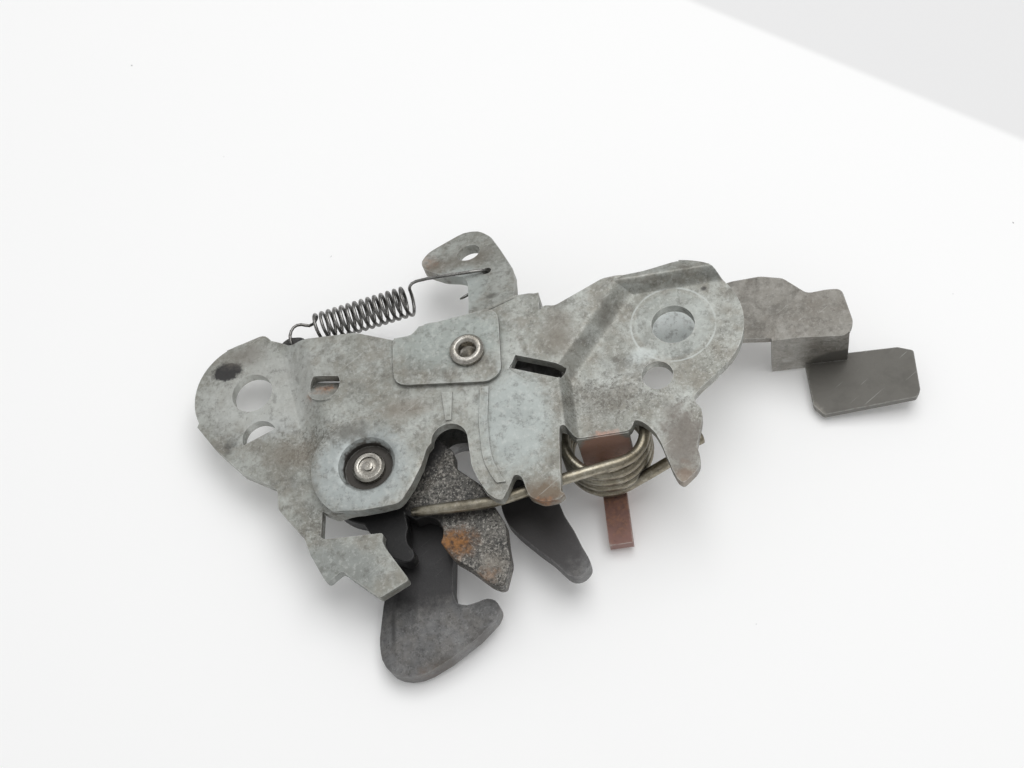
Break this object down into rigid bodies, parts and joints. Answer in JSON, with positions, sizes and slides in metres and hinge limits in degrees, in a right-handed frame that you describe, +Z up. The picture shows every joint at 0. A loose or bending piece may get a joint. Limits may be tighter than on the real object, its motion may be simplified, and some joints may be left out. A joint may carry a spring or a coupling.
{
  "type": "bonnet latch",
  "caption": "Bonnet latch on a stamped winged plate with a striker slot, a rotary claw, a release lever, a sprung safety hook with a finger lever and a pop-up spring.",
  "frame": {"origin": "midway between the two mounting holes, on the back faces of the wings that meet the car body", "axes": "+X across the latch towards the claw's pivot, +Y from the plate towards the mechanism and the car body's panel, +Z up, the way the striker leaves the slot"},
  "size_m": [0.1895, 0.0398, 0.1238],
  "materials": {
    "plate_zinc": "dull zinc plating, stained",
    "lever_zinc": "dull zinc plating, worn",
    "claw_steel": "dark steel with rust",
    "dark_steel": "dark phosphate coat",
    "rivet_steel": "bright plating",
    "spring_wire": "yellowed plating",
    "fine_wire": "drawn steel wire"
  },
  "bodies": {
    "base": {"base_plate": "plate_zinc", "claw_rivet": "rivet_steel", "claw_washer": "rivet_steel", "claw_retainer": "rivet_steel", "lever_rivet": "rivet_steel", "front_spacer": "rivet_steel", "middle_spacer": "rivet_steel", "pivot_washer": "rivet_steel", "popup_spring": "spring_wire", "release_spring": "fine_wire", "safety_spring": "fine_wire"},
    "claw": {"claw": "claw_steel"},
    "release": {"release_lever": "dark_steel"},
    "safety": {"safety_hook": "dark_steel", "finger_lever": "lever_zinc", "joining_rivets": "rivet_steel"}
  },
  "joints": [
    {"name": "claw_turn", "type": "hinge", "parent": "base", "child": "claw", "pos_m": [0.0242, 0.0029, 0.028], "axis": [0, -1, 0], "range_deg": [0, 64]},
    {"name": "release_turn", "type": "hinge", "parent": "base", "child": "release", "pos_m": [-0.0034, 0.0029, 0.0012], "axis": [0, -1, 0], "range_deg": [0, 15], "stiffness_Nm_per_rad": 0.25, "springref_deg": -11.46, "deforming": ["release_spring"]},
    {"name": "safety_turn", "type": "hinge", "parent": "base", "child": "safety", "pos_m": [-0.0034, 0.0101, 0.0012], "axis": [0, 1, 0], "range_deg": [0, 16], "stiffness_Nm_per_rad": 0.3, "springref_deg": -20.05, "deforming": ["safety_spring"]}
  ]
}
